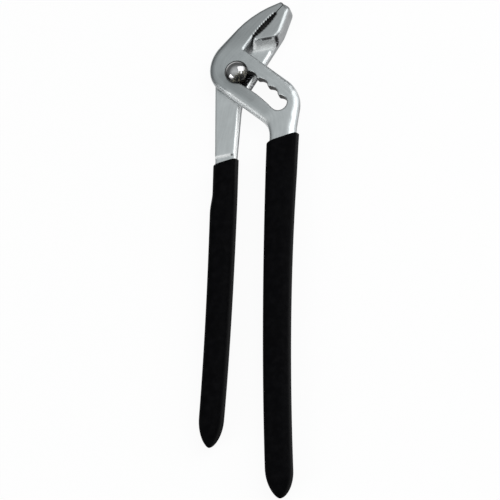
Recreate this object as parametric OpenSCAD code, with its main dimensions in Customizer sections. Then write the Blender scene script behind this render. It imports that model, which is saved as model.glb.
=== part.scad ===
// Water pump pliers: two forged levers lapped across each other, a notched slot in the front lever,
// one pivot bolt with its washers and nut, and a dipped grip on each handle.
// The tool lies on its back: X to the right, Y towards the jaws, Z up, in millimetres.
// The origin is on the pivot axis, on the surface that the tool lies on.

/* [Levers] */
// Thickness of the jaws and of the handle bars
lever_thickness = 11; // [10:0.5:13]
// Thickness of the front lever where the two levers lap
front_plate = 5.4; // [4.8:0.1:6]
// Running gap between the two lapped plates
lap_gap = 0.1; // [0.05:0.05:0.3]
// Half width of the slotted bar, from the line through its end notches
bar_half = 13.7; // [13.2:0.1:15]
// Distance from the pivot to the left side of the head
head_side = 16.4; // [15.6:0.1:18]
// Distance from the pivot to the straight back of the upper jaw
jaw_back = 20.5; // [19.5:0.1:22]
// Depth of the rounded forged edges
edge_depth = 1.6; // [1:0.1:2]

/* [Rear lever] */
// Radius of its round boss about the pivot
boss_radius = 14.2; // [13.4:0.1:15]
// Distance from the pivot to the right edge of its shank
shank_edge = 9.45; // [9:0.05:9.8]
// Radius of the hollow shoulder below the lower jaw
shoulder_radius = 6; // [5:0.1:7]
// Radius about the pivot that is kept clear for the slotted bar
shoulder_clear = 16.6; // [16.2:0.1:18]
// Chamfer along the edges of its shank
shank_chamfer = 1.5; // [0.5:0.1:1.8]
// Distance from the pivot down to the small step in its front face
shank_step = 49.2; // [48:0.1:50]
// Height of that step
step_drop = 0.6; // [0.2:0.1:1]
// Length of the ramp of that step
step_ramp = 1.2; // [0.8:0.1:2]
// Slope of that step across the shank
step_slope = 5; // [0:0.5:8]

/* [Jaws] */
// Length of the jaws along the bite line
bite_length = 26.7; // [24:0.1:28]
// Length of the hollow, toothed part of the bite
toothed_length = 19.8; // [16:0.1:21]
// Number of teeth on each jaw
tooth_count = 11; // [8:1:13]
// Depth of the teeth on the upper jaw
upper_tooth = 0.9; // [0.5:0.1:1.2]
// Depth of the teeth on the lower jaw
lower_tooth = 0.7; // [0.4:0.1:1.2]
// Hollow of the upper jaw along the toothed part
upper_hollow = 0.7; // [0.3:0.1:1.2]
// Hollow of the lower jaw along the toothed part
lower_hollow = 1.1; // [0.3:0.1:1.6]
// Gap between the closed jaws
jaw_gap = 0.1; // [0.05:0.05:0.5]

/* [Slot] */
// Number of notches
notch_count = 5; // [3:1:5]
// Radius of the arc that the notches lie on
slot_radius = 100; // [98:1:105]
// Turn from one notch to the next about the centre of that arc
notch_angle = 4.8; // [4.6:0.05:4.9]
// Slope of the slotted bar below the X axis
bar_slope = 42.5; // [41:0.5:44]

/* [Pivot] */
// Radius of the bolt's shank
key_radius = 4.6; // [4:0.1:4.8]
// Distance from the bolt's axis to the flat of its key
key_flat = 2.9; // [2.4:0.1:3.1]
// Clearance of the shank in the notches
notch_clearance = 0.1; // [0.05:0.01:0.1]
// Clearance of the key's flat under the teeth of the slot
flat_clearance = 0.2; // [0.1:0.05:0.4]
// Extra depth of the slot between its end notches, on the side without notches
channel_relief = 0.1; // [0.05:0.05:0.3]
// Clearance of the pieces that sit on the bolt
bolt_clearance = 0.05; // [0.02:0.01:0.1]
// Diameter of the domed bolt head
head_diameter = 13.5; // [12:0.1:15]
// Height of the domed bolt head
head_rise = 4; // [3:0.1:5]
// Height of the upright rim of the head
head_rim = 0.7; // [0.4:0.1:1.2]
// Thickness of the washer below the head
head_washer_thickness = 0.8; // [0.6:0.1:1.5]
// How much smaller the washer is than the head, across
head_washer_step = 0.6; // [0:0.1:1.5]
// Gap above and below the head washer
washer_play = 0.05; // [0.02:0.01:0.1]
// Diameter of the thread
thread_diameter = 6; // [5:0.5:6.5]
// Width of the nut across its flats
nut_width = 10; // [9:0.5:10.5]
// Height of the nut
nut_height = 3.2; // [2.8:0.1:3.6]
// Corner chamfer of the nut
nut_chamfer = 0.5; // [0.2:0.1:0.8]
// Thickness of the lock washer
lock_washer_thickness = 1; // [0.8:0.1:1.4]
// Outer diameter of the lock washer
lock_washer_diameter = 12.6; // [12:0.1:13]
// Width of the split in the lock washer
lock_washer_split = 1.2; // [0.8:0.1:2]
// Clearance of the nut's recess round the lock washer
recess_clearance = 0.4; // [0.2:0.1:0.8]
// Gap between the key's lower end and the lock washer
key_relief = 0.4; // [0.2:0.1:0.8]

/* [Grips] */
// Wall of the dipped grips
grip_wall = 1.2; // [1:0.1:2]
// Squareness of the grips' section
grip_squareness = 3.4; // [3.2:0.1:4]
// Length of the tapered tip of each grip
grip_tip = 16; // [12:0.5:20]
// Slope of the grips' upper rims
rim_slope = 12; // [8:1:20]
// Distance from the pivot down to the rim of the right grip
right_rim = 44.7; // [44:0.1:50]
// Distance from the pivot down to the rim of the left grip
left_rim = 56.5; // [55:0.1:60]
// Distance from the pivot down to the end of the right grip
right_end = 254.3; // [220:1:280]
// Distance from the pivot down to the end of the left grip
left_end = 223.2; // [200:1:250]
// How far the right bar is set back from its grip, on the side of the other handle
right_setback = 0.9; // [0:0.1:1.2]
// Clearance of the grips on their bars
grip_clearance = 0.05; // [0.02:0.01:0.1]

/* [Hidden] */
$fn = 96;
// Largest turn of one straight stretch of a rounded outline
arc_step = 7;
// Steps of a rounded forged edge
edge_steps = 5;
// Smallest doubled area of a triangle in the faces of a slab
ear_margin = 0.00001;
// Limit of the mitre at the sharp corners of an outline that is moved inwards
mitre_limit = 0.4;
// Facets of a full turn of the slot's long arc
slot_facets = 720;
// Margin by which cuts run past the faces that they open
over = 1;
// Reach of cuts that run past the whole tool
far = 400;

// Heights
back_z = grip_wall;
front_z = back_z + lever_thickness;
lap_z = front_z - front_plate;
rear_z = lap_z - lap_gap;
nut_seat_z = nut_height + lock_washer_thickness;
washer_z = front_z + washer_play;
head_z = washer_z + head_washer_thickness + washer_play;

// Slot: its arc turns about a far centre, and the bolt rests in the first notch
slot_turn = notch_angle * (notch_count - 1);
first_tangent = bar_slope - slot_turn / 2;
slot_centre = -slot_radius * [sin(first_tangent), cos(first_tangent)];
notch_radius = key_radius + notch_clearance;
channel_top = key_flat + flat_clearance;
channel_bottom = notch_radius + channel_relief;

// Bore of the pieces on the bolt's thread
thread_bore = thread_diameter + 2 * bolt_clearance;

// Edges of the forged rounding: [width seen from the front, depth]
edge_plain = [1.3, edge_depth];
edge_fine = [0.3, edge_depth];
edge_nose = [1, edge_depth];
edge_soft = [2.2, edge_depth];
edge_head = [3.6, 2];
edge_bar = [2.4, edge_depth];
edge_shank = [2.2, 2];
edge_wide = [5, 3];

// Plain vector and line helpers
function dir(a) = [cos(a), sin(a)];
function line(angle, distance) = [angle, distance];
function line_through(p, q) =
    let (angle = atan2(p[0] - q[0], q[1] - p[1]))
    [angle, p * dir(angle)];
function meet(l, m) =
    let (det = sin(m[0] - l[0]))
    [(l[1] * sin(m[0]) - m[1] * sin(l[0])) / det, (m[1] * cos(l[0]) - l[1] * cos(m[0])) / det];
function along(p, a, d) = p + d * dir(a);
function bezier(p, t) =
    pow(1 - t, 3) * p[0] + 3 * t * pow(1 - t, 2) * p[1] + 3 * t * t * (1 - t) * p[2] + pow(t, 3) * p[3];
function heading(p, q) = atan2(q[1] - p[1], q[0] - p[0]);
function turn_between(a, b) = (b - a + 540) % 360 - 180;

// A corner is [place, fillet radius, edge]; the result is a list of [x, y, edge]
function fillet(p, c, q) =
    let (a = heading(p[0], c[0]), turn = turn_between(a, heading(c[0], q[0])), r = c[1])
    r == 0 ? [[c[0][0], c[0][1], c[2]]] :
    let (steps = max(1, ceil(abs(turn) / arc_step)),
         side = sign(turn),
         start = along(c[0], a, -r * tan(abs(turn) / 2)),
         centre = start + r * side * dir(a + 90))
    [for (k = [0 : steps])
        let (v = centre + r * dir(a - 90 * side + turn * k / steps))
        [v[0], v[1], c[2]]];
function rounded(corners) =
    let (n = len(corners))
    [for (i = [0 : n - 1])
        each fillet(corners[(i + n - 1) % n], corners[i], corners[(i + 1) % n])];
function plain_corners(points, edge) = [for (p = points) [p, 0, edge]];

// Moves each point of an outline inwards by its own edge width times a share
function inner(points, share) =
    let (n = len(points))
    [for (i = [0 : n - 1])
        let (p = points[(i + n - 1) % n], c = points[i], q = points[(i + 1) % n],
             u = dir(heading(p, c) + 90), v = dir(heading(c, q) + 90))
        [c[0], c[1]] + share * c[2][0] * (u + v) / max(mitre_limit, 1 + u * v)];

// Splits an outline into triangles inside it, cutting one ear at a time and going round the outline
function area_of(a, b, c) = (b[0] - a[0]) * (c[1] - a[1]) - (b[1] - a[1]) * (c[0] - a[0]);
function within(p, a, b, c) = min(area_of(a, b, p), area_of(b, c, p), area_of(c, a, p)) > -ear_margin;
function is_ear(points, ids) =
    let (a = points[ids[0]], b = points[ids[1]], c = points[ids[2]])
    area_of(a, b, c) > ear_margin
    && len([for (k = [3 : len(ids) - 1]) if (within(points[ids[k]], a, b, c)) k]) == 0;
function turned(ids) = [for (k = [1 : len(ids)]) ids[k % len(ids)]];
function ears(points, ids, cut = []) =
    len(ids) == 3 ? concat(cut, [ids]) :
    is_ear(points, ids)
        ? let (rest = concat([for (k = [2 : len(ids) - 1]) ids[k]], [ids[0]]))
          ears(points, rest, concat(cut, [[ids[0], ids[1], ids[2]]]))
        : ears(points, turned(ids), cut);

// A forged slab: an outline between two heights, with both edges rounded
module forged(points, low, high) {
    n = len(points);
    caps = ears(inner(points, 1), [for (i = [0 : n - 1]) i]);
    turns = [for (k = [0 : edge_steps]) 90 * k / edge_steps];
    rings = concat(
        [for (a = turns) [low, 1 - cos(a), 1 - sin(a)]],
        [for (k = [edge_steps : -1 : 0]) [high, cos(turns[k]) - 1, 1 - sin(turns[k])]]);
    last = len(rings) - 1;
    polyhedron(
        points = [for (ring = rings)
            let (inset = inner(points, ring[2]))
            each [for (i = [0 : n - 1])
                [inset[i][0], inset[i][1], ring[0] + points[i][2][1] * ring[1]]]],
        faces = concat(
            caps,
            [for (k = [0 : last - 1], i = [0 : n - 1])
                let (j = (i + 1) % n, a = k * n + i, b = k * n + j)
                each [[a, a + n, b], [b, a + n, b + n]]],
            [for (t = caps) [for (k = [2 : -1 : 0]) last * n + t[k]]]));
}

// Handles: a curved middle line from its top to its end, and the half widths of the bar along it
right_path = [[26.1, -38], [21.6, -112], [20.4, -182], [22.9, -right_end]];
left_path = [[-7.9, -51.8], [-9.4, -108], [-11.2, -165], [-16.1, -left_end]];
// Each half width is [at the top, at the end, power of the taper between them]
right_half = [8, 6, 3];
left_half = [6.2, 5, 1];
handle_steps = 18;
function half_at(half, t) = half[1] + (half[0] - half[1]) * pow(1 - t, half[2]);
function path_length(path) = path[0][1] - path[3][1];
function bar_end(path) = 1 - grip_tip / path_length(path);
function handle_side(path, half, side, grow) =
    [for (k = [0 : handle_steps])
        let (t = bar_end(path) * k / handle_steps)
        bezier(path, t) + [side * (half_at(half, t) + grow), 0]];
// The bar's corners: down its left side and up its right side
function bar_corners(path, half, left_edge, right_edge, first = 0, grow = 0, setback = 0) =
    let (l = handle_side(path, half, -1, grow - setback), r = handle_side(path, half, 1, grow))
    concat([for (k = [first : handle_steps]) [l[k], 0, left_edge]],
           [for (k = [handle_steps : -1 : 0]) [r[k], 0, right_edge]]);

// Bite line: from its root to the tip of the jaws, each with a nose beyond that tip
bite_root = [9.5, 21.9];
bite_angle = 45.9;
upper_nose = 2.7 * dir(122);
lower_nose = 4 * dir(-25.3);
bite_tip = along(bite_root, bite_angle, bite_length);
function bite_teeth(origin, hollow, tooth, side) =
    [for (i = [0 : 2 * tooth_count])
        let (u = i / (2 * tooth_count), sunk = 4 * hollow * u * (1 - u) + (i % 2) * tooth)
        along(along(origin, bite_angle, u * toothed_length), bite_angle + 90 * side, sunk)];

// Lever lines, each given by the direction of its normal and its distance from the pivot
tip_line = line(107, 34);
back_line = line(134.3, jaw_back);
side_line = line(180, head_side);
bar_low = line(270 - bar_slope, bar_half);
bar_high = line(90 - bar_slope, bar_half);
elbow_line = line(7, 35.5);
root_line = line(-37.7, -5.8);
shank_line = line(-32.5, shank_edge);
lower_jaw_line = line(-15.6, 18.9);

// Throat of the rear lever: the two corners between its bite and its boss
throat_top = [8.4, 19.6];
throat_foot = [6.2, 14.5];

// Radii of the forged outlines' corners
nose_round = 1.5;
bite_round = 0.4;
back_round = 55;
head_round = 21;
heel_round = 16;
crook_round = 14;
elbow_round = 19;
root_round = 1;
throat_round = 0.8;
shank_round = 24;
jaw_round = 20;
lower_nose_round = 1.3;

module slot() {
    translate([slot_centre[0], slot_centre[1], lap_z - over])
        rotate(90 - first_tangent - slot_turn)
            rotate_extrude(angle = slot_turn, $fn = slot_facets)
                translate([slot_radius - channel_bottom, 0])
                    square([channel_bottom + channel_top, front_plate + 2 * over]);
    for (k = [0 : notch_count - 1])
        translate([slot_centre[0], slot_centre[1], lap_z - over])
            rotate(90 - first_tangent - k * notch_angle)
                translate([slot_radius, 0])
                    cylinder(r = notch_radius, h = front_plate + 2 * over);
}

// Lap of the front lever: clears the boss and shank of the rear lever behind it
lap_clearance = 1.5;
lap_radius = boss_radius + lap_clearance;
lap_start = 150;
lap_end = 62;
lap_above_rim = 0.3;
lap_inset = 0.4;
// The plane above the rim of a grip, where a lap may be cut
module above_rim(path, rim) {
    translate([path[0][0], -rim + lap_above_rim])
        rotate(rim_slope)
            translate([-far, 0])
                square(2 * far);
}
module front_lap() {
    start = (lap_radius - lap_inset) * dir(lap_start);
    end = (lap_radius - lap_inset) * dir(lap_end);
    translate([0, 0, back_z - over])
        linear_extrude(lap_z - back_z + over) {
            circle(r = lap_radius);
            intersection() {
                polygon([start, along(start, lap_start + 90, far), [far, -far],
                         along(end, -bar_slope, far), end]);
                above_rim(right_path, right_rim);
            }
        }
}

module upper_jaw_lever() {
    handle_left = handle_side(right_path, right_half, -1, -right_setback);
    crook_line = line_through(handle_left[0], handle_left[1]);
    outline = rounded(concat(
        [[bite_tip + upper_nose, nose_round, edge_nose],
         [meet(tip_line, back_line), back_round, edge_plain],
         [meet(back_line, side_line), head_round, edge_head],
         [meet(side_line, bar_low), heel_round, edge_head],
         [meet(bar_low, crook_line), crook_round, edge_bar]],
        bar_corners(right_path, right_half, edge_soft, edge_wide, first = 1, setback = right_setback),
        [[meet(elbow_line, bar_high), elbow_round, edge_soft],
         [meet(bar_high, root_line), root_round, edge_fine]],
        plain_corners(bite_teeth(bite_root, upper_hollow, upper_tooth, 1), edge_fine),
        [[bite_tip, bite_round, edge_fine]]));
    color("silver")
        difference() {
            forged(outline, back_z, front_z);
            front_lap();
            slot();
        }
}

// The key: a round shank with one flat, which faces the teeth of the slot
module key_profile(clearance) {
    difference() {
        circle(r = key_radius + clearance);
        rotate(90 - first_tangent)
            translate([key_flat + clearance, -key_radius - over])
                square(2 * (key_radius + over));
    }
}

// Lap of the rear lever: from the hollow shoulder below its jaw down to the rim of its grip
shoulder_tilt = 4;
shoulder_top = [16.5, 20.1];
shoulder_foot = 0.05;
shoulder_axis = along(shoulder_top, shoulder_tilt - 90, shoulder_radius);
step_middle = [left_path[0][0], -shank_step];
module rear_lap() {
    translate([shoulder_axis[0], shoulder_axis[1], rear_z + shoulder_foot + shoulder_radius])
        rotate([0, 90, shoulder_tilt])
            cylinder(r = shoulder_radius, h = far, center = true);
    translate([0, 0, rear_z]) {
        cylinder(r = shoulder_clear, h = lever_thickness);
        linear_extrude(lever_thickness)
            intersection() {
                translate(shoulder_axis)
                    rotate(shoulder_tilt)
                        translate([-far, -2 * far])
                            square([2 * far, 2 * far]);
                above_rim(left_path, left_rim);
            }
    }
    intersection() {
        translate(step_middle)
            rotate([90, 0, step_slope + 90])
                linear_extrude(2 * far, center = true)
                    polygon([[0, rear_z], [-step_ramp, rear_z - step_drop], [-far, rear_z - step_drop],
                             [-far, far], [0, far]]);
        linear_extrude(far)
            above_rim(left_path, left_rim);
    }
}

// A chamfer along an open run of edge points at one height, with the solid on the run's left
function left_of(points, i) =
    dir(heading(points[max(0, i - 1)], points[min(len(points) - 1, i + 1)]) + 90);
module edge_chamfer(points, height, width) {
    last = len(points) - 1;
    function place(i, inwards, z) = let (p = points[i] + inwards * left_of(points, i)) [p[0], p[1], z];
    polyhedron(
        points = [for (i = [0 : last])
            each [place(i, -over, height - width - over),
                  place(i, width + over, height + over),
                  place(i, -over, height + over)]],
        faces = concat(
            [[0, 1, 2]],
            [for (i = [0 : last - 1], k = [0 : 2])
                let (u = 3 * i + k, v = 3 * i + (k + 1) % 3)
                each [[v, u, u + 3], [v, u + 3, v + 3]]],
            [[3 * last, 3 * last + 2, 3 * last + 1]]));
}

// The run of the shank's right edge, from just above the grip's rim up to the shoulder
inside_rise = [2.6, 34];
rim_margin = 0.5;
handle_top = handle_side(left_path, left_half, 1, 0)[0];
inside_line = line_through(handle_top, handle_top + inside_rise);
shank_corner = meet(shank_line, inside_line);
shank_end = meet(shank_line, lower_jaw_line);
rim_top = -left_rim + lap_above_rim + (handle_top[0] - left_path[0][0]) * tan(rim_slope);
shank_foot = handle_top + (rim_top + rim_margin - handle_top[1]) / inside_rise[1] * inside_rise;
shank_top = shank_corner + (shoulder_axis[1] - shank_corner[1]) / (shank_end[1] - shank_corner[1])
    * (shank_end - shank_corner);
shank_arc = fillet([handle_top], [shank_corner, shank_round, 0], [shank_end]);
shank_run = concat(
    [shank_foot],
    [for (k = [1 : len(shank_arc) - 1])
        let (p = shank_arc[k - 1], q = shank_arc[k])
        [p[0] + q[0], p[1] + q[1]] / 2],
    [shank_top]);

module lower_jaw_lever() {
    lower_root = along(bite_root, bite_angle - 90, jaw_gap);
    lower_tip = along(bite_tip, bite_angle - 90, jaw_gap);
    teeth = bite_teeth(lower_root, lower_hollow, lower_tooth, -1);
    recess_diameter = lock_washer_diameter + 2 * recess_clearance;
    outline = rounded(concat(
        [[lower_tip, bite_round, edge_fine]],
        [for (k = [2 * tooth_count : -1 : 0]) [teeth[k], 0, edge_fine]],
        [[throat_top, throat_round, edge_fine],
         [throat_foot, throat_round, edge_fine],
         [[-boss_radius, boss_radius], boss_radius, edge_plain]],
        bar_corners(left_path, left_half, edge_plain, edge_shank),
        [[shank_corner, shank_round, edge_plain],
         [shank_end, jaw_round, edge_plain],
         [lower_tip + lower_nose, lower_nose_round, edge_nose]]));
    color("silver")
        difference() {
            forged(outline, back_z, front_z);
            rear_lap();
            edge_chamfer(shank_run, rear_z, shank_chamfer);
            translate([0, 0, back_z - over])
                cylinder(d = recess_diameter, h = nut_seat_z - back_z + over);
            translate([0, 0, back_z])
                linear_extrude(lever_thickness)
                    key_profile(bolt_clearance);
        }
}

module pivot_bolt() {
    dome_rise = head_rise - head_rim;
    dome_radius = (pow(head_diameter / 2, 2) + pow(dome_rise, 2)) / (2 * dome_rise);
    key_z = nut_seat_z + key_relief;
    color("gainsboro") {
        translate([0, 0, head_z])
            intersection() {
                cylinder(d = head_diameter, h = head_rise);
                translate([0, 0, head_rise - dome_radius])
                    sphere(r = dome_radius);
            }
        translate([0, 0, front_z])
            cylinder(r = key_radius, h = head_z - front_z + head_rim / 2);
        translate([0, 0, key_z])
            linear_extrude(front_z - key_z)
                key_profile(0);
        cylinder(d = thread_diameter, h = key_z + over);
    }
}

module head_washer() {
    color("gainsboro")
        translate([0, 0, washer_z])
            difference() {
                cylinder(d = head_diameter - head_washer_step, h = head_washer_thickness);
                translate([0, 0, -over])
                    cylinder(r = key_radius + bolt_clearance, h = head_washer_thickness + 2 * over);
            }
}

module lock_washer() {
    color("gray")
        translate([0, 0, nut_height])
            difference() {
                cylinder(d = lock_washer_diameter, h = lock_washer_thickness);
                translate([0, 0, -over])
                    cylinder(d = thread_bore, h = lock_washer_thickness + 2 * over);
                translate([0, -lock_washer_split / 2, -over])
                    cube([lock_washer_diameter, lock_washer_split, lock_washer_thickness + 2 * over]);
            }
}

module pivot_nut() {
    corner_radius = nut_width / sqrt(3);
    color("gray")
        difference() {
            intersection() {
                cylinder(r = corner_radius, h = nut_height, $fn = 6);
                rotate_extrude()
                    polygon([[0, 0], [corner_radius - nut_chamfer, 0], [corner_radius, nut_chamfer],
                             [corner_radius, nut_height], [0, nut_height]]);
            }
            translate([0, 0, -over])
                cylinder(d = thread_bore, h = nut_height + 2 * over);
        }
}

// A grip: a loft of rounded sections along the handle's path, with a bullet tip, cut at its rim
grip_stations = 22;
grip_sides = 28;
tip_stations = 10;
tip_reach = 89;
tip_power = 0.62;
tip_least = 0.0001;
function tip_share(t, path) =
    let (s = (1 - t) * path_length(path) / grip_tip)
    s >= 1 ? 1 : pow(max(tip_least, 1 - pow(1 - s, 2)), tip_power);
function power(v, e) = sign(v) * pow(abs(v), e);
function grip_ring(path, half, t) =
    let (c = bezier(path, t), f = tip_share(t, path),
         a = (half_at(half, t) + grip_wall) * f, b = (lever_thickness / 2 + grip_wall) * f)
    [for (k = [0 : grip_sides - 1])
        let (w = 360 * k / grip_sides)
        [c[0] + a * power(cos(w), 2 / grip_squareness), c[1],
         back_z + lever_thickness / 2 + b * power(sin(w), 2 / grip_squareness)]];
module grip_form(path, half) {
    straight = bar_end(path);
    stations = concat(
        [for (k = [0 : grip_stations - 1]) straight * k / grip_stations],
        [for (k = [0 : tip_stations - 1])
            straight + (1 - straight) * sin(tip_reach * k / (tip_stations - 1))]);
    last = len(stations) - 1;
    polyhedron(
        points = [for (t = stations) each grip_ring(path, half, t)],
        faces = concat(
            [[for (i = [0 : grip_sides - 1]) i]],
            [for (k = [0 : last - 1], i = [0 : grip_sides - 1])
                let (j = (i + 1) % grip_sides, m = k * grip_sides, n = m + grip_sides)
                each [[m + i, n + i, m + j], [m + j, n + i, n + j]]],
            [[for (i = [grip_sides - 1 : -1 : 0]) last * grip_sides + i]]));
}
module grip(path, half, left_edge, right_edge, rim, setback = 0) {
    bar = rounded(
        bar_corners(path, half, left_edge, right_edge, grow = grip_clearance, setback = setback));
    color([0.06, 0.06, 0.07])
        difference() {
            grip_form(path, half);
            forged(bar, back_z - grip_clearance, front_z + grip_clearance);
            translate([path[0][0], -rim, -over])
                rotate(rim_slope)
                    translate([-far, 0, 0])
                        cube([2 * far, far, lever_thickness + 2 * grip_wall + 2 * over]);
        }
}
module right_grip() {
    grip(right_path, right_half, edge_soft, edge_wide, right_rim, right_setback);
}
module left_grip() {
    grip(left_path, left_half, edge_plain, edge_shank, left_rim);
}

upper_jaw_lever();
lower_jaw_lever();
pivot_bolt();
head_washer();
lock_washer();
pivot_nut();
right_grip();
left_grip();
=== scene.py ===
"""Water pump pliers lying on their back on a pale table, dressed for a studio picture.

Objects are in metres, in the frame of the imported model: X to the right, Y towards the jaws, Z up.
The tables of levers, grips and bolt are in millimetres, and MM brings them to metres on use.
"""

import math

import bmesh
import bpy
import numpy as np
from mathutils import Matrix, Vector
from mathutils.kdtree import KDTree


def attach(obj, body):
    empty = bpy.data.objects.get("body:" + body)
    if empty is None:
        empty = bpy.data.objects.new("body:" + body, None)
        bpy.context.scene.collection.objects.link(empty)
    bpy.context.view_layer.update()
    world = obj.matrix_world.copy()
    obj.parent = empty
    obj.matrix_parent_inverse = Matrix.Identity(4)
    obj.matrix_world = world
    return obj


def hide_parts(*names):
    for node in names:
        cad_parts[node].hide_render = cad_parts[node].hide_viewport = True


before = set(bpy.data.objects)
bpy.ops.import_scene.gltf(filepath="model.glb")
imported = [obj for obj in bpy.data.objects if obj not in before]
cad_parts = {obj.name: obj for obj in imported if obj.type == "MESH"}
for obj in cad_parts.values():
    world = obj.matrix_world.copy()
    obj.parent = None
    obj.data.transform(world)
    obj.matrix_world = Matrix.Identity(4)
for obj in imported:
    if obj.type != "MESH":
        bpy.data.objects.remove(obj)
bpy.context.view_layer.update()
scene = bpy.context.scene
MM = 0.001


# Shader trees

WHITE = (1.0, 1.0, 1.0)
# Sockets of a Mix node that blends colours
MIX_SHARE, MIX_LOW, MIX_HIGH, MIX_RESULT = 0, 6, 7, 2
# Range that most of a noise lies in
MIDDLE = (0.3, 0.7)


def even_grey(level):
    return (level, level, level)


class Value:
    """A socket of a node; expressions on one that carries a number add Math nodes."""

    def __init__(self, tree, socket):
        self.tree = tree
        self.socket = socket

    def math(self, operation, *values):
        return self.tree.node("ShaderNodeMath", {"operation": operation}, dict(enumerate(values)))

    def __add__(self, other):
        return self.math("ADD", self, other)

    def __radd__(self, other):
        return self.math("ADD", other, self)

    def __sub__(self, other):
        return self.math("SUBTRACT", self, other)

    def __rsub__(self, other):
        return self.math("SUBTRACT", other, self)

    def __mul__(self, other):
        return self.math("MULTIPLY", self, other)

    def __rmul__(self, other):
        return self.math("MULTIPLY", other, self)

    def larger(self, other):
        return self.math("MAXIMUM", self, other)

    def step(self, low, high):
        """A soft step from 0 at low to 1 at high."""
        return self.tree.node("ShaderNodeMapRange", {"interpolation_type": "SMOOTHSTEP"},
                              {"Value": self, "From Min": low, "From Max": high})


class Shades:
    """A node tree of a material or of the world, filled by one method."""

    def __init__(self, owner):
        owner.use_nodes = True
        self.owner = owner
        self.nodes = owner.node_tree.nodes
        self.links = owner.node_tree.links
        self.nodes.clear()

    def node(self, kind, settings=None, sockets=None, output=0):
        """Adds a node: its settings first, then the values or links of its sockets."""
        made = self.nodes.new(kind)
        for key, setting in (settings or {}).items():
            setattr(made, key, setting)
        for key, given in (sockets or {}).items():
            if isinstance(given, Value):
                self.links.new(given.socket, made.inputs[key])
            elif isinstance(given, tuple) and len(given) == 3 and made.inputs[key].type == "RGBA":
                made.inputs[key].default_value = (*given, 1.0)
            else:
                made.inputs[key].default_value = given
        return Value(self, made.outputs[output]) if made.outputs else None

    def noise(self, place, scale, detail=3.0, roughness=0.55):
        """A noise with a scale in waves a metre."""
        return self.node("ShaderNodeTexNoise", None, {
            "Vector": place, "Scale": scale, "Detail": detail, "Roughness": roughness})

    def stretched(self, place, factors, turn=0.0):
        """The same place with its axes turned about Z and stretched."""
        return self.node("ShaderNodeMapping", None,
                         {"Vector": place, "Rotation": (0.0, 0.0, turn), "Scale": factors})

    def mix(self, share, low, high):
        """A colour between two colours."""
        return self.node("ShaderNodeMix", {"data_type": "RGBA"},
                         {MIX_SHARE: share, MIX_LOW: low, MIX_HIGH: high}, output=MIX_RESULT)

    def tint(self, colour, shade):
        """A colour darkened by another."""
        return self.node("ShaderNodeMix", {"data_type": "RGBA", "blend_type": "MULTIPLY"},
                         {MIX_SHARE: 1.0, MIX_LOW: colour, MIX_HIGH: shade}, output=MIX_RESULT)

    def bump(self, height, depth, strength, under=None):
        """A bump of a depth in mm, laid over another one if that is given."""
        sockets = {"Height": height, "Distance": depth * MM, "Strength": strength}
        if under is not None:
            sockets["Normal"] = under
        return self.node("ShaderNodeBump", None, sockets)

    def attribute(self, name, output="Fac"):
        return self.node("ShaderNodeAttribute", {"attribute_name": name}, output=output)

    def axis(self, place, name):
        """One coordinate of a place."""
        return self.node("ShaderNodeSeparateXYZ", None, {0: place}, output=name)

    def place(self):
        return self.node("ShaderNodeTexCoord", output="Object")

    def finish(self, sockets):
        surface = self.node("ShaderNodeBsdfPrincipled", None, sockets)
        self.node("ShaderNodeOutputMaterial", None, {"Surface": surface})
        return self.owner


def new_finish(name):
    return Shades(bpy.data.materials.new(name))


# Finishes

# Marks that follow from a lever's shape, and marks that are laid along given runs
SHAPE_MARKS = ("edge", "side", "hollow")
RUN_MARKS = ("painted_deep_shade", "painted_highlight", "frost_and_painted_light", "painted_soft_shade")
# Stretch along X over which the plating goes from its shaded to its lit colour: a painted shade
# that darkens the head on the left
PLATING_SHADE = (-15 * MM, 30 * MM)
# Stretch along Y over which the plating is painted darker towards the jaws, a painted shade
JAW_SHADE = (12 * MM, 25 * MM)
# Direction to the side of the bolt head with a painted dark reflection, where it begins, and how
# uneven its edge is
SLOTWARDS = (0.566, -0.824)
DARK_REFLECTION_EDGE = (3.3 * MM, 4.2 * MM)
DARK_REFLECTION_BLOTS = 5 * MM
# Radii between which the bolt head is painted darker towards its rim, a painted shade
HEAD_SHADE = (4.5 * MM, 6.0 * MM)


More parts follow.
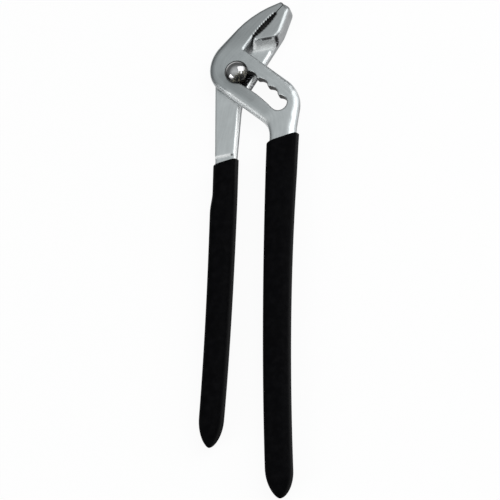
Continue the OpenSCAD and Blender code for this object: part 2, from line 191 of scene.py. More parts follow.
def satin_steel(name, shaded, lit):
    """Satin plated forging: drawn lines, blasted grain, cloudy plating, worn edges, rougher walls;
    painted shade and highlights.
    """
    f = new_finish(name)
    place = f.place()
    flow = f.attribute("flow", "Vector")
    edge, side, hollow = (f.attribute(mark) for mark in SHAPE_MARKS)
    painted_deep_shade, painted_highlight, frost_and_painted_light, painted_soft_shade = (f.attribute(mark) for mark in RUN_MARKS)

    grain = f.noise(place, 3400, 2)
    mottle = f.noise(place, 150, 4, 0.6)
    clouds = f.noise(place, 45, 3)
    drawn = f.noise(f.stretched(flow, (70, 950, 260)), 1.0, 3, 0.6)
    hairs = f.noise(f.stretched(flow, (160, 4200, 900)), 1.0, 2)
    swell = f.noise(place, 105, 1)
    scuffs = f.noise(place, 900, 3, 0.65).step(0.62, 0.78)
    flecks = f.noise(place, 1000, 2).step(0.55, 0.66)

    # Plating, with painted shade: darker to the left, towards the jaws and along soft bands; then
    # the streaks in its tone
    base = f.mix(f.axis(place, "X").step(*PLATING_SHADE), shaded, lit)
    # painted shade: the jaws darker than the rest of the lever
    jaw_shade = f.axis(place, "Y").step(*JAW_SHADE)
    plated = f.tint(base, f.mix(jaw_shade, WHITE, even_grey(0.74)))
    tone = 0.5 * drawn + 0.3 * mottle + 0.2 * clouds
    streaked = f.tint(plated, f.mix(tone.step(*MIDDLE), even_grey(0.84), WHITE))
    # painted shade: soft darker bands along the slotted lever's bar and over its heel
    shady = f.tint(streaked, f.mix(painted_soft_shade, WHITE, even_grey(0.7)))

    # Edge wear over it, then painted highlights, and frost with painted light
    wear = (edge * (0.5 + 0.6 * mottle)).step(0.3, 0.9)
    worn = f.mix(wear * 0.6, shady, (0.74, 0.76, 0.76))
    bright = (0.95, 0.96, 0.96)
    # painted highlight: bright, partly matte lines where highlights fall, and lighter where a
    # shadow would darken
    highlighted = f.mix(painted_highlight * (0.75 + 0.5 * (drawn - 0.5)), worn, bright)
    # frost with painted light: rougher patches whose paler colour stands in for light
    frost_light_colour = f.mix(mottle.step(*MIDDLE), (0.84, 0.86, 0.86), bright)
    frost_lit = f.mix(frost_and_painted_light, highlighted, frost_light_colour)

    # Walls, hollows and painted deep shade
    # walls: rougher forged skin, and a painted shade in their darker colour
    dull = side * (1 - painted_highlight)
    wall = f.mix(mottle.step(*MIDDLE), (0.3, 0.31, 0.315), (0.42, 0.43, 0.435))
    # painted shade: dark colour in the slot's walls and between the bite's teeth
    shade_in_hollows = f.mix(grain.step(*MIDDLE), even_grey(0.06), even_grey(0.11))
    # painted deep shade: near black with a few lighter flecks, where shade falls in the slot, on
    # the ramp and at the tips
    deep_shade_colour = f.mix(mottle.step(0.35, 0.7), even_grey(0.012), (0.03, 0.029, 0.028))
    with_hollow_shade = f.mix(hollow, f.mix(dull, frost_lit, wall), shade_in_hollows)
    colour = f.mix(painted_deep_shade, with_hollow_shade, f.mix(flecks, deep_shade_colour, (0.34, 0.35, 0.39)))

    rough = (0.33 + 0.10 * (drawn - 0.5) + 0.08 * (mottle - 0.5) + 0.05 * (hairs - 0.5)
             + 0.06 * scuffs + 0.16 * dull + 0.18 * hollow + 0.16 * painted_deep_shade + 0.3 * frost_and_painted_light
             - 0.08 * painted_highlight - 0.04 * edge)
    wavy = f.bump(swell, 0.4, 0.25)
    lines = f.bump(hairs, 0.02, 0.3, wavy)
    fine = f.bump(grain, 0.03, 0.3, lines)
    return f.finish({"Base Color": colour, "Metallic": 1 - 0.75 * painted_highlight,
                     "Roughness": rough, "Normal": fine})


def polished_steel(name):
    """Polished bolt head: fine turned rings, hairline scratches, painted shade at its rim, and a
    painted dark reflection on the slot's side.
    """
    f = new_finish(name)
    place = f.place()
    radial = f.node("ShaderNodeVectorMath", {"operation": "MULTIPLY"},
                    {0: place, 1: (1.0, 1.0, 0.0)})
    radius = f.node("ShaderNodeVectorMath", {"operation": "LENGTH"}, {0: radial}, output="Value")
    rings = f.node("ShaderNodeTexNoise", {"noise_dimensions": "1D"},
                   {"W": radius, "Scale": 9000.0, "Detail": 2.0})
    scratches = f.noise(f.stretched(place, (9000, 500, 2000), math.radians(35)), 1.0, 2)
    hairs = scratches.step(0.62, 0.8)
    haze = f.noise(place, 420, 4)
    blots = f.noise(place, 900, 2)

    crown = f.mix(haze.step(0.35, 0.7), (0.46, 0.46, 0.47), even_grey(0.56))
    # painted shade: the head darker towards its rim
    rim_shaded = f.mix(radius.step(*HEAD_SHADE), crown, even_grey(0.045))
    # painted dark reflection: blotchy dark colour on the slot's side of the head
    slotwards = SLOTWARDS[0] * f.axis(place, "X") + SLOTWARDS[1] * f.axis(place, "Y")
    painted_dark_reflection = (slotwards + DARK_REFLECTION_BLOTS * (blots - 0.5)).step(*DARK_REFLECTION_EDGE)
    dark_reflection_colour = f.mix(blots.step(0.5, 0.62), even_grey(0.008), (0.16, 0.15, 0.11))
    colour = f.mix(painted_dark_reflection, rim_shaded, dark_reflection_colour)

    rough = 0.07 + 0.06 * haze + 0.12 * hairs + 0.3 * painted_dark_reflection
    turned = f.bump(rings, 0.004, 0.3)
    scratched = f.bump(hairs, 0.004, 0.3, turned)
    return f.finish({"Base Color": colour, "Metallic": 1 - 0.9 * painted_dark_reflection,
                     "Roughness": rough, "Normal": scratched})


def zinc_plated(name):
    """Zinc plated fastener: a pale spangle, slightly dulled."""
    f = new_finish(name)
    place = f.place()
    cells = f.node("ShaderNodeTexVoronoi", None, {"Vector": place, "Scale": 1300.0},
                   output="Color")
    spangle = f.node("ShaderNodeRGBToBW", None, {"Color": cells})
    dull = f.noise(place, 260, 4)
    grain = f.noise(place, 5200, 2)
    colour = f.mix(0.5 * spangle + 0.5 * dull, (0.42, 0.43, 0.44), even_grey(0.6))
    rough = 0.26 + 0.14 * dull + 0.08 * spangle
    fine = f.bump(grain, 0.015, 0.35)
    return f.finish({"Base Color": colour, "Metallic": 1.0, "Roughness": rough, "Normal": fine})


def dipped_vinyl(name):
    """Black dipped coating: matte, with an orange-peel skin, slow runs and faint handling marks."""
    f = new_finish(name)
    place = f.place()
    peel = f.noise(place, 1500, 3)
    runs = f.noise(f.stretched(place, (160, 26, 160)), 1.0, 2)
    dust = f.noise(place, 240, 5, 0.65)
    strokes = f.noise(f.stretched(place, (2600, 240, 1500), math.radians(12)), 1.0, 3)
    marks = strokes.step(0.64, 0.8)
    colour = f.mix(dust.step(0.35, 0.75), (0.0022, 0.0022, 0.0026), (0.0042, 0.0042, 0.0048))
    scuffed = f.mix(marks * 0.3, colour, (0.009, 0.009, 0.01))
    rough = 0.56 + 0.14 * (dust - 0.5) + 0.12 * (peel - 0.5) + 0.06 * marks
    slow = f.bump(runs, 0.5, 0.3)
    skin = f.bump(peel, 0.06, 0.35, slow)
    return f.finish({"Base Color": scuffed, "Roughness": rough, "Specular IOR Level": 0.012,
                     "Normal": skin})


# Pieces

def add_piece(name, mesh, finish, body, node):
    """A smooth piece that stands for a CAD node and moves with a body."""
    piece = bpy.data.objects.new(name, mesh)
    scene.collection.objects.link(piece)
    mesh.materials.clear()
    mesh.materials.append(finish)
    mesh.polygons.foreach_set("use_smooth", [True] * len(mesh.polygons))
    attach(piece, body)
    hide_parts(node)


def mesh_of(name, points, faces):
    mesh = bpy.data.meshes.new(name)
    mesh.from_pydata([tuple(p) for p in points], [], faces)
    mesh.update()
    return mesh


def closed_rings(name, rings):
    """A closed skin over rings of equal length in mm, with a fan of faces over each end."""
    count = len(rings[0])
    last = (len(rings) - 1) * count
    points = [p for ring in rings for p in ring]
    faces = []
    for start in range(0, last, count):
        for i in range(count):
            j = (i + 1) % count
            faces.append((start + i, start + j, start + count + j, start + count + i))
    for ring, start, flip in ((rings[0], 0, True), (rings[-1], last, False)):
        centre = len(points)
        points.append(np.mean(np.array(ring), axis=0))
        for i in range(count):
            j = (i + 1) % count
            first, second = (j, i) if flip else (i, j)
            faces.append((centre, start + first, start + second))
    return mesh_of(name, np.array(points) * MM, faces)


# The forged levers keep the CAD shape; every edge is softened as by tumbling before plating

# Grid that the forging's skin is rebuilt on, and the height of its front face
SKIN = 0.34 * MM
FRONT = 12.2 * MM
# Distance under which two points of a CAD mesh are one
SAME_POINT = 1e-6
# Arc of the slot: its radius, centre, and first direction and turn in degrees
SLOT_RADIUS = 100 * MM
SLOT_CENTRE = np.array([-54.317, -83.962]) * MM
SLOT_FIRST = 57.1
SLOT_TURN = 19.2
# Line of the bite, from its root towards the tips
BITE_ROOT = np.array([9.5, 21.9]) * MM
BITE_ANGLE = math.radians(45.9)
BITE_HEADING = np.array([math.cos(BITE_ANGLE), math.sin(BITE_ANGLE)])
# Softening everywhere but at the closed tips: stretch of the bite and reaches in mm, rounds
SOFT_ALL = ((20.5, 26.0), (0.4, 1.2), 3)
# Further softening away from the whole bite
SOFT_PLAIN = ((-2.0, 29.0), (2.0, 4.0), 4)
# Front edge of the closed tips: stretch of the bite, reach aside and down, least facing, crease
LIP_RUN = (20.2 * MM, 27.5 * MM)
LIP_REACH = 0.7 * MM
LIP_FACING = 0.4
LIP_CREASE = math.radians(40)
# Share of the points hidden inside a grip that are taken out
HIDDEN_CUT = 0.9


def bite_run(start, end):
    """A stretch of the bite line, between two distances in mm from its root."""
    return np.array([BITE_ROOT + distance * MM * BITE_HEADING for distance in (start, end)])


def bite_place(points):
    """How far points lie along the bite line, and how far aside of it."""
    away = points[:, :2] - BITE_ROOT
    along = away @ BITE_HEADING
    aside = np.abs(away[:, 0] * BITE_HEADING[1] - away[:, 1] * BITE_HEADING[0])
    return along, aside


def read_points(mesh):
    """Places and normals of a mesh's points, and the two ends of each of its edges."""
    count = len(mesh.vertices)
    co = np.empty(count * 3, np.float32)
    no = np.empty(count * 3, np.float32)
    mesh.vertices.foreach_get("co", co)
    mesh.vertices.foreach_get("normal", no)
    ends = np.empty(len(mesh.edges) * 2, np.int32)
    mesh.edges.foreach_get("vertices", ends)
    return co.reshape(-1, 3).astype(float), no.reshape(-1, 3).astype(float), ends.reshape(-1, 2)


def summed(values, ends, count):
    """Sum of a value over the neighbours of each point."""
    return (np.bincount(ends[:, 0], values[ends[:, 1]], count)
            + np.bincount(ends[:, 1], values[ends[:, 0]], count))


def neighbours(ends, count):
    """How many neighbours each point has, and at least one."""
    return np.maximum(np.bincount(ends.ravel(), minlength=count), 1)


def spread(values, ends):
    """Each value drawn halfway to the mean of its neighbours."""
    count = len(values)
    return 0.5 * values + 0.5 * summed(values, ends, count) / neighbours(ends, count)


def soft_step(values, low, high):
    t = np.clip((values - low) / (high - low), 0, 1)
    return t * t * (3 - 2 * t)


def near_run(points, run):
    """Distance of each point from a run of straight stretches."""
    best = np.full(len(points), np.inf)
    for a, b in zip(run[:-1], run[1:]):
        stretch = b - a
        share = np.clip(((points - a) @ stretch) / (stretch @ stretch), 0, 1)
        away = points - a - share[:, None] * stretch
        best = np.minimum(best, np.linalg.norm(away, axis=1))
    return best


def close_to(points, run, inner, outer):
    """1 within the inner reach of a run and 0 beyond its outer reach, all given in mm."""
    return 1 - soft_step(near_run(points, np.array(run) * MM), inner * MM, outer * MM)


def modified(name, mesh, kind, settings, group=None):
    """The mesh after one modifier, which may be held to a group of its points."""
    holder = bpy.data.objects.new(name + "_rough", mesh)
    scene.collection.objects.link(holder)
    step = holder.modifiers.new(kind.lower(), kind)
    for key, setting in settings.items():
        setattr(step, key, setting)
    if group is not None:
        holder.vertex_groups.new(name="sleeved").add(group.tolist(), 1.0, "REPLACE")
        step.vertex_group = "sleeved"
    shown = holder.evaluated_get(bpy.context.evaluated_depsgraph_get())
    result = bpy.data.meshes.new_from_object(shown)
    bpy.data.objects.remove(holder)
    bpy.data.meshes.remove(mesh)
    result.name = name
    return result


def settle(points, ends, weight, rounds):
    """Draws each point towards its neighbours, by its weight."""
    touched = ends[(weight[ends[:, 0]] > 0) | (weight[ends[:, 1]] > 0)]
    members = np.unique(touched)
    count = len(members)
    local = np.full(len(points), -1)
    local[members] = np.arange(count)
    kept = local[touched]
    part = points[members]
    share = 0.5 * weight[members][:, None]
    degree = neighbours(kept, count)[:, None]
    for _ in range(rounds):
        total = np.stack([summed(part[:, k], kept, count) for k in range(3)], 1)
        part = (1 - share) * part + share * total / degree
    points[members] = part


def closed_lip(points):
    """Which points lie at the front edge of the closed jaw tips."""
    along, aside = bite_place(points)
    return ((aside < LIP_REACH) & (along > LIP_RUN[0]) & (along < LIP_RUN[1])
            & (points[:, 2] > FRONT - LIP_REACH))


def crease_lip(mesh):
    """Keeps that edge sharp, so that the tips meet without a groove."""
    co, _, _ = read_points(mesh)
    work = bmesh.new()
    work.from_mesh(mesh)
    work.verts.ensure_lookup_table()
    for k in np.flatnonzero(closed_lip(co)):
        for edge in work.verts[k].link_edges:
            if edge.calc_face_angle(0) > LIP_CREASE:
                edge.smooth = False
    work.to_mesh(mesh)
    work.free()


def tumbled(name, node, eased, sleeve):
    """The CAD solid with its edges softened, more so along the eased runs."""
    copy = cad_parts[node].data.copy()
    work = bmesh.new()
    work.from_mesh(copy)
    bmesh.ops.remove_doubles(work, verts=work.verts, dist=SAME_POINT)
    work.to_mesh(copy)
    work.free()
    mesh = modified(name, copy, "REMESH", {"mode": "VOXEL", "voxel_size": SKIN})
    co, no, ends = read_points(mesh)
    for stretch, (inner, outer), rounds in (SOFT_ALL, SOFT_PLAIN):
        aside = near_run(co[:, :2], bite_run(*stretch))
        settle(co, ends, soft_step(aside, inner * MM, outer * MM), rounds)
    for run, inner, outer, rounds in eased:
        settle(co, ends, close_to(co, run, inner, outer), rounds)
    co[closed_lip(co) & (no[:, 2] > LIP_FACING), 2] = FRONT
    mesh.vertices.foreach_set("co", co.astype(np.float32).ravel())
    mesh.update()
    hidden = np.flatnonzero(co[:, 1] < sleeve * MM)
    ratio = 1 - HIDDEN_CUT * len(hidden) / len(co)
    result = modified(name, mesh, "DECIMATE", {"ratio": ratio}, hidden)
    crease_lip(result)
    return result


def store(mesh, name, values, kind="FLOAT", field="value"):
    layer = mesh.attributes.new(name, kind, "POINT")
    layer.data.foreach_set(field, values.astype(np.float32).ravel())


# Spacing of the points along a forging's spine, in mm
SPINE_SPACING = 0.25


def smooth_run(points):
    """A smooth curve through points in mm, at an even spacing, in metres."""
    p = np.array(points, float)
    p = np.vstack([2 * p[0] - p[1], p, 2 * p[-1] - p[-2]])
    curve = []
    for k in range(1, len(p) - 2):
        steps = max(2, int(np.linalg.norm(p[k + 1] - p[k]) / SPINE_SPACING))
        for t in np.arange(steps) / steps:
            curve.append(0.5 * (2 * p[k] + (p[k + 1] - p[k - 1]) * t
                                + (2 * p[k - 1] - 5 * p[k] + 4 * p[k + 1] - p[k + 2]) * t * t
                                + (3 * p[k] - p[k - 1] - 3 * p[k + 1] + p[k + 2]) * t ** 3))
    return np.array(curve) * MM


def mark_flow(mesh, spine):
    """Stores the place along and across the forging's spine, which the drawn lines follow."""
    co, _, _ = read_points(mesh)
    curve = smooth_run(spine)
    length = np.concatenate([[0], np.cumsum(np.linalg.norm(np.diff(curve, axis=0), axis=1))])
    heading = np.gradient(curve, axis=0)
    heading /= np.linalg.norm(heading, axis=1, keepdims=True)
    tree = KDTree(len(curve))
    for k, point in enumerate(curve):
        tree.insert((point[0], point[1], 0), k)
    tree.balance()
    nearest = np.array([tree.find((x, y, 0))[1] for x, y in co[:, :2]])
    away = co[:, :2] - curve[nearest]
    along = length[nearest] + (away * heading[nearest]).sum(1)
    across = away[:, 0] * heading[nearest][:, 1] - away[:, 1] * heading[nearest][:, 0]
    store(mesh, "flow", np.stack([along, across, co[:, 2]], 1), "FLOAT_VECTOR", "vector")


# Band of the slot: reach aside of its arc, and degrees past its ends
SLOT_REACH = 5.4 * MM
SLOT_MARGIN = 3.6
# Toothed part of the bite: reach aside and stretch
TEETH_REACH = 2.6 * MM
TEETH_RUN = (-1 * MM, 20.3 * MM)
# Closed tips: reach aside and start
TIPS_REACH = 1.4 * MM
TIPS_FROM = 19.8 * MM
# Range of bend that makes an edge, and ranges of facing up or down that end a wall and a painted
# hollow shade
EDGE_BEND = (0.05, 0.3)
WALL_FACING = (0.05, 0.4)
CUT_FACING = (0.35, 0.8)
# Range of facing over which a mark on a run fades out
FACING_FADE = 0.15
# Shortest edge that has a direction
LEAST_EDGE = 1e-9


def mark_wear_and_painted_light(mesh, runs, slotted):
    """Stores worn edges, and walls and hollows for painted shade, by the shape, and the painted
    marks along the given runs.
    """
    co, no, ends = read_points(mesh)
    count = len(co)
    step = co[ends[:, 1]] - co[ends[:, 0]]
    step /= np.maximum(np.linalg.norm(step, axis=1, keepdims=True), LEAST_EDGE)
    bend = (np.bincount(ends[:, 0], -(no[ends[:, 0]] * step).sum(1), count)
            + np.bincount(ends[:, 1], (no[ends[:, 1]] * step).sum(1), count))
    bend /= neighbours(ends, count)

    arm = co[:, :2] - SLOT_CENTRE
    reach = np.abs(np.linalg.norm(arm, axis=1) - SLOT_RADIUS)
    angle = SLOT_FIRST - np.degrees(np.arctan2(arm[:, 1], arm[:, 0]))
    in_slot = (reach < SLOT_REACH) & (angle > -SLOT_MARGIN) & (angle < SLOT_TURN + SLOT_MARGIN)
    along, aside = bite_place(co)
    in_bite = (aside < TEETH_REACH) & (along > TEETH_RUN[0]) & (along < TEETH_RUN[1])
    closed = (aside < TIPS_REACH) & (along > TIPS_FROM)

    facing = np.abs(no[:, 2])
    worn = soft_step(spread(bend, ends), *EDGE_BEND)
    wall = 1 - soft_step(facing, *WALL_FACING)
    # painted shade in the slot's walls and between the bite's teeth
    shade_in_hollows = (1 - soft_step(facing, *CUT_FACING)) * ((slotted & in_slot) | in_bite)
    store(mesh, "edge", np.where(closed, 0.0, worn))
    # walls, rougher and with a painted shade
    store(mesh, "side", spread(np.where(closed, 0.0, wall), ends))
    store(mesh, "hollow", spread(shade_in_hollows, ends))
    for mark in RUN_MARKS:
        total = np.zeros(count)
        for run, inner, outer, strength, level in runs.get(mark, ()):
            shade = strength * close_to(co, run, inner, outer)
            shade *= soft_step(no[:, 2], level - FACING_FADE, level)
            total = np.maximum(total, shade)
        store(mesh, mark, spread(total, ends))


# Each eased run is its points, inner and outer reach, and rounds of softening.
# Each mark's run is its points, inner and outer reach, strength, and least upward facing.
# The sleeve is the place along Y below which a grip hides the lever.
LEVERS = {
    "slotted_lever": {
        "node": "upper_jaw_lever", "body": "upper_lever", "slotted": True, "sleeve": -52,
        "shaded": (0.465, 0.495, 0.505), "lit": (0.61, 0.64, 0.65),
        "spine": (
            (29, 43), (15, 29), (2, 15), (-5, 7), (-4, 0), (5, -6), (15, -15), (24, -25),
            (27, -36), (25, -60), (21.6, -112), (20.4, -182), (22.9, -254)),
        "eased": (
            (((9.5, 21.9, 12.2), (4.1, 14.8, 12.2)), 0.6, 1.6, 35),
            (((-12, -7.6, 8.6), (18.8, -35.8, 8.6)), 2.5, 4.5, 16),
            (((-9.5, -9.9, 11.8), (17, -34.2, 11.8)), 0.6, 2.0, 15),
            (((-4.5, -14.5, 11.8), (17, -34.2, 11.8)), 0.8, 3.4, 65),
            (((18, 0.6, 12.2), (22, -3, 12.2), (29, -9.3, 12.2)), 0.5, 1.6, 12),
            (((26, -6.6, 12.2), (29, -9.3, 12.2), (33.2, -14, 12.2)), 0.5, 1.7, 18),
            (((30.5, -10.8, 12.2), (33.2, -14, 12.2), (34.4, -18, 12.2)), 0.6, 2.1, 30),
            (((33.2, -14, 12.2), (35, -20, 12.2), (35, -26, 12.2), (34.4, -31, 12.2)),
             0.8, 2.6, 50),
            (((34.6, -18.5, 12.2), (35, -20, 12.2), (35, -26, 12.2), (34.4, -31, 12.2)),
             0.9, 3.1, 70)),
        "marks": {
            # painted deep shade: a dark mark at the tip's edge
            "painted_deep_shade": (
                (((26.4, 42.7, 11.8), (28.2, 41.0, 11.8)), 0.6, 1.3, 0.65, -0.9),),
            # painted highlight: lightens the bar's lower wall over its shadow
            "painted_highlight": (
                (((-8, -11.3, 7.4), (18.8, -35.8, 7.4)), 1.4, 4.4, 0.5, -0.9),),
            # frost with painted light: softens and lightens the bar's lower bevel
            "frost_and_painted_light": (
                (((-6, -13.1, 11.4), (17, -34.2, 11.4)), 0.8, 4.0, 0.45, -0.9),),
            # painted shade: soft darker bands along the bar and over the heel
            "painted_soft_shade": (
                (((-15, -2.5, 8.5), (-12.5, -4.8, 8.5), (-6.5, -9.6, 8.5)), 1.5, 4.5, 0.9, -0.9),
                (((-5, -5, 12.2), (9, -18, 12.2)), 1.0, 5.0, 0.8, 0.8),
                (((-8, -2, 12.2), (17, -26, 12.2)), 0.5, 6.0, 0.5, 0.8)),
        },
    },
    "lapped_lever": {
        "node": "lower_jaw_lever", "body": "lower_lever", "slotted": False, "sleeve": -64,
        "shaded": (0.64, 0.67, 0.68), "lit": (0.64, 0.67, 0.68),
        "spine": (
            (31, 40), (20, 26), (14, 16), (6, 3), (0, -12), (-4, -30), (-7.5, -50),
            (-9.4, -108), (-11.2, -165), (-16.1, -223)),
        "eased": (
            (((25.2, 20.4, 12.0), (24.9, 18.9, 9.6), (24.5, 17.0, 8.2)), 1.2, 3.2, 110),
            (((8.4, 19.6, 11.5), (7.8, 18.2, 8.5), (7.0, 16.5, 7.4)), 1.2, 3.0, 150),
            (((31.5, 39.0, 1.2), (31.5, 39.0, 12.2)), 0.8, 2.6, 45),
            (((19.6, 13.9, 6.2), (20.8, 15.6, 6.4)), 0.9, 2.0, 40),
            (((10.0, 19.7, 11.2), (11.2, 19.8, 11.2)), 0.7, 1.6, 40),
            (((30.2, 35.6, 12.2), (25.6, 21.5, 12.2)), 0.6, 2.0, 45),
            (((-13.9, -57.5, 11.8), (-14.2, -70, 11.8), (-14.6, -86, 11.8)), 1.5, 4.0, 200)),
        "marks": {
            # painted deep shade: in the slot by the bolt, at the step, on the ramp, at the tips and
            # along the shank's walls
            "painted_deep_shade": (
                (((-1.06, -7.62, 6.7), (6.46, 4.18, 6.7)), 4.2, 4.6, 1.0, 0.6),
                (((-4.2, -49.4, 6.4), (-4.1, -49.4, 6.4)), 0.3, 0.9, 0.9, 0.3),
                (((23.1, 20.3, 10.6), (23.1, 19.5, 8.6), (23.1, 18.9, 7.3), (22.7, 18.0, 6.2)),
                 0.5, 1.9, 1.0, -0.9),
                (((15.6, 19.8, 11.2), (19.9, 20.05, 11.2)), 0.25, 1.4, 0.9, -0.9),
                (((28.4, 40.7, 12.0), (29.7, 39.1, 12.0), (30.8, 38.4, 11.8)),
                 0.7, 1.7, 0.55, -0.9),
                (((-2.2, -54.5, 3.4), (0.5, -22, 3.4), (1.3, -16.4, 3.4), (4.4, -11.4, 3.4),
                  (11, -0.8, 3.4)), 1.2, 1.9, 0.55, -0.9),
                (((3.0, -13.5, 3.6), (11.5, -0.2, 3.6)), 1.5, 2.1, 0.8, -0.9)),
            # painted highlight: bright lines at the step, the ramp's foot and corner, the chamfers,
            # and a light patch on the shank
            "painted_highlight": (
                (((-14.0, -50.1, 6.5), (-5.5, -49.4, 6.5)), 0.45, 0.95, 1.0, 0.6),
                (((7.4, 15.1, 6.9), (14.0, 15.4, 6.9), (20.4, 16.0, 6.9)), 0.2, 1.0, 0.75, 0.6),
                (((16.6, 9.9, 6.3), (19.0, 13.4, 6.4), (21.2, 16.2, 6.9)), 0.3, 0.9, 0.9, 0.2),
                (((-6, -11.2, 6.7), (-0.8, -17.6, 6.7)), 0.6, 4.0, 0.32, 0.6),
                (((9.6, 18.3, 9.0), (9.4, 17.4, 8.2)), 0.9, 2.1, 1.0, -0.9),
                (((-2.4, -54.5, 6.0), (-0.2, -22.0, 6.0), (0.6, -16.4, 6.0), (3.6, -11.0, 6.0),
                  (11.5, 1.8, 6.0)), 0.7, 1.3, 1.0, 0.35)),
            # frost with painted light: lightens the ramp
            "frost_and_painted_light": (
                (((10.5, 18.2, 8.7), (20.8, 18.8, 8.7)), 2.2, 4.0, 0.6, -0.9),),
        },
    },
}
for lever_name, lever in LEVERS.items():
    lever_mesh = tumbled(lever_name, lever["node"], lever["eased"], lever["sleeve"])
    mark_flow(lever_mesh, lever["spine"])
    mark_wear_and_painted_light(lever_mesh, lever["marks"], lever["slotted"])
    plating = satin_steel(lever_name + "_satin", lever["shaded"], lever["lit"])
    add_piece(lever_name, lever_mesh, plating, lever["body"], lever["node"])


# Dipped grips, lofted along the handles, in mm

GRIP_WALL = 1.2
HALF_DEPTH = 6.7
MIDDLE_Z = 6.7
SQUARENESS = 3.4
GRIP_SIDES = 72
GRIP_STATIONS = 90
# Bullet tip: its length, the power and least share of its curve, its stations and their reach
TIP_LENGTH = 16.0
TIP_POWER = 0.62
TIP_LEAST = 1e-4
TIP_STATIONS = 22
TIP_REACH = math.radians(89.4)
# Rim: its slope across, its lean towards the back, and how far below it both fade out
RIM_SLOPE = math.tan(math.radians(12))
RIM_LEAN = math.tan(math.radians(20))
RIM_FADE = 22
# Rounds that find the rim's place on the path
RIM_ROUNDS = 20
# Rounded lip of the rim, the skin left at its inner edge, and the gap to the next section
LIP = 0.85
LIP_STEPS = 6
LIP_SKIN = 0.25
LIP_GAP = 0.3
# Slimmer left side: how far it is drawn in, how square its front corner is, where both fade out
# below the rim, and the sines of the turn over which the drawing in starts from the back
SLIM = 0.95
SLIM_SQUARENESS = 2.5
SLIM_FADE = (17, 30)
SLIM_TURN = (-0.8, -0.3)
# Squarer right front corner near the rim
RIM_SQUARENESS = 6.5
CRISP_FADE = (3, 28)


def curve_point(path, t):
    p = np.array(path, float)
    return ((1 - t) ** 3 * p[0] + 3 * t * (1 - t) ** 2 * p[1]
            + 3 * t * t * (1 - t) * p[2] + t ** 3 * p[3])


def grip_ring(path, half, t, shrink, slim, crisp):
    """One section of a grip: slim draws its left side in, crisp squares its right front corner."""
    top, end, taper = half
    length = path[0][1] - path[3][1]
    from_end = min((1 - t) * length / TIP_LENGTH, 1.0)
    share = max(TIP_LEAST, 1 - (1 - from_end) ** 2) ** TIP_POWER
    middle = curve_point(path, t)
    wide = (end + (top - end) * (1 - t) ** taper + GRIP_WALL) * share - shrink
    deep = HALF_DEPTH * share - shrink
    ring = []
    for k in range(GRIP_SIDES):
        w = 2 * math.pi * k / GRIP_SIDES
        c, s = math.cos(w), math.sin(w)
        square, reach = SQUARENESS, wide
        if c < 0:
            reach -= SLIM * slim * soft_step(s, *SLIM_TURN)
        if s > 0 and c < 0:
            square += (SLIM_SQUARENESS - SQUARENESS) * slim
        elif s > 0:
            square += (RIM_SQUARENESS - SQUARENESS) * crisp
        power = 2 / square
        ring.append((middle[0] + reach * math.copysign(abs(c) ** power, c), middle[1],
                     MIDDLE_Z + deep * math.copysign(abs(s) ** power, s)))
    return ring


def grip_mesh(name, path, half, rim, lean_side, slimmed):
    """A grip from rim to tip; its rim leans where X from the path's start passes lean_side."""
    length = path[0][1] - path[3][1]
    straight = 1 - TIP_LENGTH / length
    rim_t = (path[0][1] + rim) / length
    for _ in range(RIM_ROUNDS):
        rim_t += (curve_point(path, rim_t)[1] + rim) / length

    def section(t, shrink=0.0):
        """One section, tilted near the rim, with the tilt fading out below it."""
        below = -rim - curve_point(path, t)[1]
        slim = 1 - soft_step(below, *SLIM_FADE) if slimmed else 0.0
        crisp = 1 - soft_step(below, *CRISP_FADE)
        fade = 1 - soft_step(t, rim_t, rim_t + RIM_FADE / length)
        x, y, z = np.array(grip_ring(path, half, t, shrink, slim, crisp)).T
        aside = x - path[0][0]
        lean = RIM_LEAN * (MIDDLE_Z + HALF_DEPTH - z) * soft_step(aside, *lean_side)
        return list(zip(x, y + fade * (RIM_SLOPE * aside + lean), z))

    rings = [section(rim_t, GRIP_WALL - LIP_SKIN)]
    for k in reversed(range(LIP_STEPS)):
        a = math.radians(90 * k / LIP_STEPS)
        rings.append(section(rim_t + LIP * (1 - math.sin(a)) / length, LIP * (1 - math.cos(a))))
    for t in np.linspace(rim_t, straight, GRIP_STATIONS):
        if t > rim_t + (LIP + LIP_GAP) / length:
            rings.append(section(t))
    for k in range(1, TIP_STATIONS + 1):
        rings.append(section(straight + (1 - straight) * math.sin(TIP_REACH * k / TIP_STATIONS)))
    return closed_rings(name, rings)


# Each half is the bar's half width at the top and at the end, and the power of the taper between.
# Each rim is how far below the bolt's axis the grip begins.
GRIPS = {
    "right_sleeve": {
        "node": "right_grip", "body": "upper_lever",
        "path": ((26.1, -38), (21.6, -112), (20.4, -182), (22.9, -254.29)),
        "half": (8, 6, 3), "rim": 44.7, "lean_side": (-2, 5), "slimmed": False,
    },
    "left_sleeve": {
        "node": "left_grip", "body": "lower_lever",
        "path": ((-7.9, -51.8), (-9.4, -108), (-11.2, -165), (-16.09, -223.2)),
        "half": (6.2, 5, 1), "rim": 56.5, "lean_side": (-12, -8), "slimmed": True,
    },
}
coating = dipped_vinyl("dipped_coating")
for grip_name, grip in GRIPS.items():
    sleeve = grip_mesh(grip_name, grip["path"], grip["half"], grip["rim"], grip["lean_side"],
                       grip["slimmed"])
    add_piece(grip_name, sleeve, coating, grip["body"], grip["node"])


# Pivot bolt: a polished dome on a key with one flat, and a thread, in mm

BOLT_SIDES = 96
# Head, from the top of its dome to its underside, with a rounded rim
HEAD_RADIUS = 6.75
HEAD_TOP = 17.1
HEAD_Z = 13.1
HEAD_EDGE = 0.22
DOME_RADIUS = 8.554
DOME_POLE = 0.02
DOME_STEPS = 12
BROW_Z = 13.63
BROW_LEAN = 38
BROW_STEPS = 5
UNDER_STEPS = 4
# Neck below the head: [radius, height]
NECK = ((4.62, HEAD_Z), (4.6, HEAD_Z - 0.05), (4.6, 12.25))
